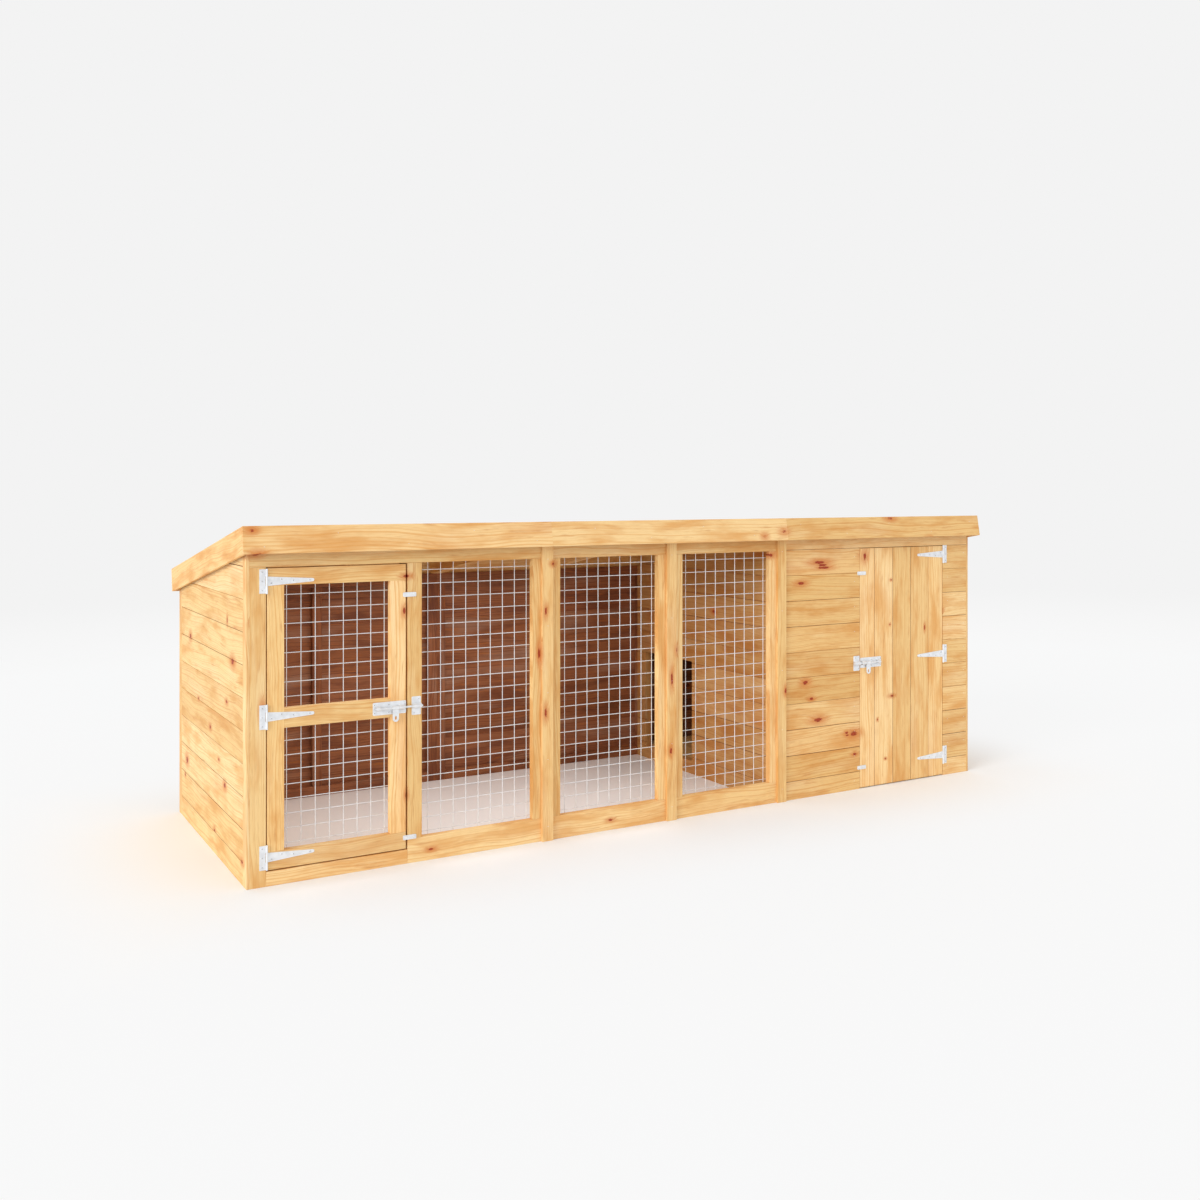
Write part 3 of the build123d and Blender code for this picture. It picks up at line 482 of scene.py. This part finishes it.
# How red, green and blue some nodes are against their family: real differences of tone, and for some nodes
# painted shade
TINTS_AND_PAINTED_SHADE = {
    "run_door_stiles": (1.10, 1.12, 1.16),
    "run_front_frame_1": (1.02, 1.04, 1.06),
    "left_wall_boards": (1.0, 1.05, 1.1),
    "kennel_front_boards_left": (0.95, 0.91, 0.84),
    "kennel_door_boards": (1.06, 1.08, 1.12),
    # The kennel front frame, the partition and the door stops are darkened with painted shade, for the
    # shade they stand in
    "kennel_front_frame": (0.7, 0.66, 0.6),
    "partition_boards": (0.68, 0.57, 0.5),
    "partition_frame": (0.68, 0.57, 0.5),
    "run_door_stops": (0.36, 0.27, 0.22),
}
INNER_FRAMES = ("back_wall_frame_1", "back_wall_frame_2", "back_wall_frame_3", "left_wall_frame")


def soften(item, width):
    """Worn edges: the corners of the timber are eased."""
    weld = item.modifiers.new("weld", "WELD")
    weld.merge_threshold = 0.00001
    ease = item.modifiers.new("ease", "BEVEL")
    ease.width = width
    ease.segments = 2
    ease.limit_method = "ANGLE"
    ease.angle_limit = math.radians(35)
    ease.harden_normals = False


def tone_of(piece, place):
    """Which tone a piece of a node has, so that neighbours differ."""
    return (piece * 3 + place * 2) % len(TONES)


PLAIN = {"zinc": ZINC, "galvanised_mesh": WIRE, "felt": FELT, "osb": BOARD}
slots = {item["node"]: item["material_slot"] for item in frame["record"]["subparts"]}
for place, (name, item) in enumerate(sorted(nodes.items())):
    kind = slots[name]
    item.data.materials.clear()
    if kind != "pine":
        item.data.materials.append(PLAIN[kind])
        continue
    piece, ways = pieces_of(item.data)
    # The inside of the back wall and its frames take the pine darkened with painted shade
    family = "inner" if name in INNER + INNER_FRAMES else "pine"
    seam = "door" if name == "kennel_door_boards" else "wall" if name in COURSED else None
    used = []
    index = []
    for number, way in enumerate(ways):
        direction = "xyz"[way]
        if name in SLOPED and direction == "y":
            direction = "slope"
        material = wood(family, direction, tone_of(number, place), seam, name)
        if material not in used:
            used.append(material)
        index.append(used.index(material))
    chosen = [index[p] for p in piece]
    if name in INNER:
        # The outside of the back boards is plain pine; only their inside keeps the darker painted shade
        for polygon in item.data.polygons:
            if polygon.normal.y > 0.5:
                outside = wood("pine", "x", tone_of(piece[polygon.index], place), seam)
                if outside not in used:
                    used.append(outside)
                chosen[polygon.index] = used.index(outside)
    for material in used:
        item.data.materials.append(material)
    item.data.polygons.foreach_set("material_index", chosen)
    soften(item, 0.0006 if "boards" in name else 0.0012)


def piece_from(name, bm, body, *materials):
    """A new piece made of mesh code, which rides on a body."""
    mesh = bpy.data.meshes.new(name)
    bm.to_mesh(mesh)
    bm.free()
    made = bpy.data.objects.new(name, mesh)
    scene.collection.objects.link(made)
    for material in materials:
        mesh.materials.append(material)
    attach(made, body)
    return made


def add_turned(bm, place, normal, profile, sides, material=0):
    """A turned form on a surface: rings of (radius, height) pairs out along the normal."""
    turn = Vector(normal).to_track_quat("Z", "Y").to_matrix().to_4x4()
    base = Matrix.Translation(place) @ turn
    rings = []
    for radius, height in profile:
        ring = []
        for k in range(sides):
            a = 2 * math.pi * k / sides
            spot = Vector((radius * math.cos(a), radius * math.sin(a), height))
            ring.append(bm.verts.new(base @ spot))
        rings.append(ring)
    for low, high in zip(rings, rings[1:]):
        for k in range(sides):
            after = (k + 1) % sides
            face = bm.faces.new((low[k], low[after], high[after], high[k]))
            face.smooth = True
            face.material_index = material
    for ring, flip in ((rings[0], True), (rings[-1], False)):
        face = bm.faces.new(ring[::-1] if flip else ring)
        face.material_index = material
    return base


def add_cross(bm, base, size, width, height, material):
    """The cross recess of a screw, as two shallow crossed bars coloured dark grey: painted shade for the
    depth of the recess.
    """
    for long_x, long_y in ((size, width), (width, size)):
        corners = [(-long_x, -long_y), (long_x, -long_y), (long_x, long_y), (-long_x, long_y)]
        low = [bm.verts.new(base @ Vector((x, y, height - 0.0003))) for x, y in corners]
        high = [bm.verts.new(base @ Vector((x, y, height))) for x, y in corners]
        faces = [high, low[::-1]]
        for k in range(4):
            after = (k + 1) % 4
            faces.append([low[k], low[after], high[after], high[k]])
        for face in faces:
            bm.faces.new(face).material_index = material


def screws(name, body, places):
    """Pan-head cross screws at the given places and outward normals."""
    bm = bmesh.new()
    profile = ((0.0036, 0.0), (0.0036, 0.0005), (0.0033, 0.0012), (0.0026, 0.0017), (0.0012, 0.0019))
    rng = random.Random(name)
    for place, normal in places:
        base = add_turned(bm, place, normal, profile, 20)
        turned = base @ Matrix.Rotation(rng.uniform(0, math.pi / 2), 4, "Z")
        add_cross(bm, turned, 0.0019, 0.0004, 0.00205, 1)
    made = piece_from(name, bm, body, ZINC, RECESS_PAINTED_SHADE)


OUT = (0, -1, 0)
# The outer face of the hinge and bolt plates, 2 mm in front of the walls
FACE = -2.0
BOLT_HEIGHT = 597.5
KEEP_HALF_WIDTH = 18.5
# For each door, in millimetres: the hinge axis, the heights of its hinges, the way from the hinges
# to the keep, the place that the bolt's screws are counted from and the gap from there to the keep
DOOR_METAL = {
    "run": (72.0, (104.0, 606.5, 1092.0), 1, 598.0, 23.0),
    "kennel": (3423.25, (102.0, 606.5, 1101.0), -1, 2879.0, 5.0),
}
for name, (axis_x, heights, toward, nose, keep_gap) in DOOR_METAL.items():
    plate = [(at(axis_x - toward * 17, FACE, z + dz), OUT) for z in heights for dz in (-33, 0, 33)]
    strap = [
        (at(axis_x + toward * dx, FACE, z + toward * dz), OUT)
        for z in heights
        for dx, dz in ((17, -7), (53, 6), (95, 0), (156, 0))
    ]
    bolt = [(at(nose - toward * s, FACE, BOLT_HEIGHT + r), OUT) for s in (69, 125) for r in (-15, 15)]
    keep_x = nose + toward * (keep_gap + KEEP_HALF_WIDTH)
    keep = [(at(keep_x + toward * dx, FACE, BOLT_HEIGHT + dz), OUT) for dx, dz in ((9, 26), (-9, -26))]
    screws(f"{name}_plate_screws", "kennel_and_run", plate + keep)
    screws(f"{name}_strap_screws", f"{name}_door", strap + bolt)


def roof_point(x, run, depth=0.0):
    """A point on the roof: x, the way down the slope from its front edge, and the depth below its top."""
    y = ROOF_EDGE + run * math.cos(PITCH) - depth * math.sin(PITCH)
    return Vector((x, y, ROOF_TOP - run * math.sin(PITCH) - depth * math.cos(PITCH)))


def nails(name, places, radius, body="kennel_and_run"):
    """Flat heads of clouts or pins, driven home."""
    bm = bmesh.new()
    for place, normal in places:
        profile = ((radius, 0.0), (radius, 0.0004), (radius * 0.85, 0.0007))
        add_turned(bm, place, normal, profile, 12)
    made = piece_from(name, bm, body, ZINC)


slope_up = (0, math.sin(PITCH), math.cos(PITCH))
# Where the two lengths of felt lap, as distances down the slope, and the depth there: above the rest
LAP_FROM, LAP_TO, LAP_DEPTH = 0.63, 0.695, -0.0025
clouts = []
for n in range(37):
    x = -1.8 + n * 0.1
    for run in (0.03, 1.29):
        clouts.append((roof_point(x, run), slope_up))
    clouts.append((roof_point(x, 0.685, LAP_DEPTH), slope_up))
for n in range(12):
    run = 0.08 + n * 0.104
    for x in (-1.796, 1.796):
        clouts.append((roof_point(x, run, LAP_DEPTH if LAP_FROM < run < LAP_TO else 0.0), slope_up))
nails("felt_clouts", clouts, 0.005)


def staples():
    """Wire staples that hold the mesh to the backs of the frames."""
    bm = bmesh.new()
    behind_mesh = 34.2
    legs = []
    upright, flat = Vector((0, 0, 0.005)), Vector((0.005, 0, 0))
    for low, high in ((663, 1137), (1263, 1737), (1863, 2337)):
        for n in range(8):
            z = 140 + n * 138
            for x in (low - 7, high + 7):
                legs.append((x, behind_mesh, z, upright))
        for n in range(4):
            x = low + 60 + n * 118
            for z in (86, 1149):
                legs.append((x, behind_mesh, z, flat))
    for x, y, z, across in legs:
        middle = at(x, y, z)
        leg = Vector((0, 0.0055, 0))
        path = [middle - across - leg, middle - across, middle + across, middle + across - leg]
        for start, end in zip(path, path[1:]):
            way = (end - start).normalized()
            add_turned(bm, start, way, ((0.0006, 0.0), (0.0006, (end - start).length)), 6)
    made = piece_from("mesh_staples", bm, "kennel_and_run", WIRE)


staples()

# Small pins that fix the cover strips, the boards and the fascias
pins = []
for x in (1200, 1800, 2400):
    for z in (60, 330, 600, 870, 1140):
        pins.append((at(x, -12, z), OUT))
for z in (24, 142, 260, 378, 496, 614, 732, 850, 968, 1086):
    for x in (2418, 2843, 3458, 3570):
        pins.append((at(x, 0, z + 18), OUT))
for n in range(14):
    face = Vector((0, -math.cos(PITCH), math.sin(PITCH)))
    pins.append((roof_point(-1.75 + n * 0.27, 0.0, 0.03 if n % 2 else 0.075), face))
nails("timber_pins", pins, 0.0013)


def ground():
    """White studio floor that fades into the backdrop well away from the kennel."""
    bm = bmesh.new()
    bmesh.ops.create_circle(bm, cap_ends=True, segments=96, radius=45.0)
    mesh = bpy.data.meshes.new("studio_floor")
    bm.to_mesh(mesh)
    bm.free()
    floor = bpy.data.objects.new("studio_floor", mesh)
    scene.collection.objects.link(floor)
    material, t, shader = new_material("studio_white")
    t.put(shader.inputs["Base Color"], (0.925, 0.94, 0.952, 1))
    t.put(shader.inputs["Roughness"], 0.9)
    t.put(shader.inputs["Specular IOR Level"], 0.1)
    glow = t.node("ShaderNodeEmission")
    x, y, _ = t.split(t.node("ShaderNodeTexCoord").outputs["Object"])
    away = t.length(t.math("MULTIPLY", x, 0.8), y)
    t.put(glow.inputs["Color"], t.mix(t.step(away, 5.0, 12.0), rgb(248, 248, 248), BACKDROP))
    # Shadows are whole under the walls and fade within 0.8 m of them
    past_end = t.math("SUBTRACT", t.math("ABSOLUTE", x), 1.85)
    past_side = t.math("SUBTRACT", t.math("ABSOLUTE", y), 0.62)
    near = t.step(t.math("MAXIMUM", past_end, past_side), 0.0, 0.8, 0.0, 0.85)
    blend = t.node("ShaderNodeMixShader")
    t.put(blend.inputs[0], t.math("MAXIMUM", near, t.step(away, 2.2, 6.5)))
    t.put(blend.inputs[1], shader.outputs[0])
    t.put(blend.inputs[2], glow.outputs[0])
    t.put(material.node_tree.nodes["Material Output"].inputs["Surface"], blend.outputs[0])
    mesh.materials.append(material)


BACKDROP = rgb(243, 243, 243)
ground()

world = bpy.data.worlds.new("studio")
scene.world = world
world.use_nodes = True
world.node_tree.nodes["Background"].inputs["Color"].default_value = BACKDROP
world.node_tree.nodes["Background"].inputs["Strength"].default_value = 1.0


def lamp(name, place, aim, size, power, colour):
    data = bpy.data.lights.new(name, "AREA")
    data.shape = "RECTANGLE"
    data.size, data.size_y = size
    data.energy = power
    data.color = colour
    made = bpy.data.objects.new(name, data)
    made.location = place
    made.rotation_euler = (Vector(aim) - Vector(place)).to_track_quat("-Z", "Y").to_euler()
    scene.collection.objects.link(made)


sun_data = bpy.data.lights.new("key", "SUN")
sun_data.energy = 1.42
sun_data.angle = math.radians(30)
sun_data.color = (1.0, 0.985, 0.96)
sun = bpy.data.objects.new("key", sun_data)
sun.rotation_euler = Vector((0.88, 0.3, -0.33)).to_track_quat("-Z", "Y").to_euler()
scene.collection.objects.link(sun)
lamp("run_light", (-0.75, -0.1, 0.98), (-0.75, -0.1, 0.0), (1.9, 0.7), 7.0, (1.0, 0.95, 0.93))

camera_data = bpy.data.cameras.new("camera")
camera_data.lens = 35.82
camera_data.sensor_width = 36.0
camera_data.shift_y = -0.0907
camera = bpy.data.objects.new("camera", camera_data)
camera.location = (-2.8381, -4.8915, 1.4143)
camera.rotation_euler = (math.radians(90), 0, math.radians(-30.1098))
scene.collection.objects.link(camera)
scene.camera = camera
scene.view_settings.view_transform = "Standard"
